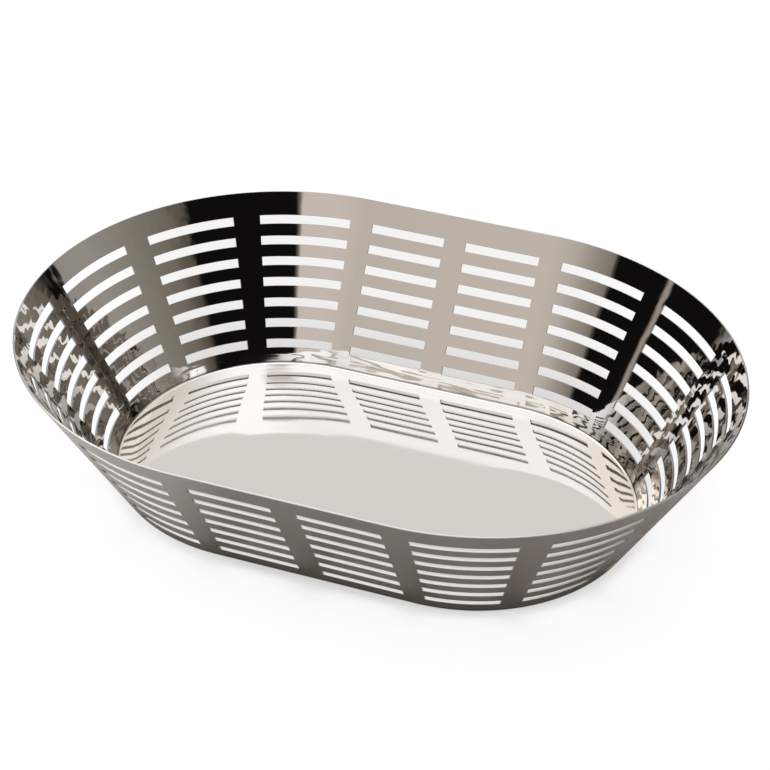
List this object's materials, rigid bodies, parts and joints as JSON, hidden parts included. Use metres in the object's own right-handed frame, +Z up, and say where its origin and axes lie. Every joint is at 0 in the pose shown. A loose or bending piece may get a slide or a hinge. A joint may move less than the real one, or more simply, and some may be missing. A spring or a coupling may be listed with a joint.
{
  "type": "oval bread basket",
  "caption": "Low oval basket pressed from polished steel sheet, with a flat floor and a flared wall pierced by rows of square-ended slots between plain ribs.",
  "frame": {"origin": "centre of the basket's underside, on the table", "axes": "+X along the basket's length, +Y across it, +Z up"},
  "size_m": [0.264, 0.19, 0.06],
  "materials": {
    "polished_steel": "polished"
  },
  "bodies": {
    "root": {"basket_shell": "polished_steel"}
  },
  "joints": []
}
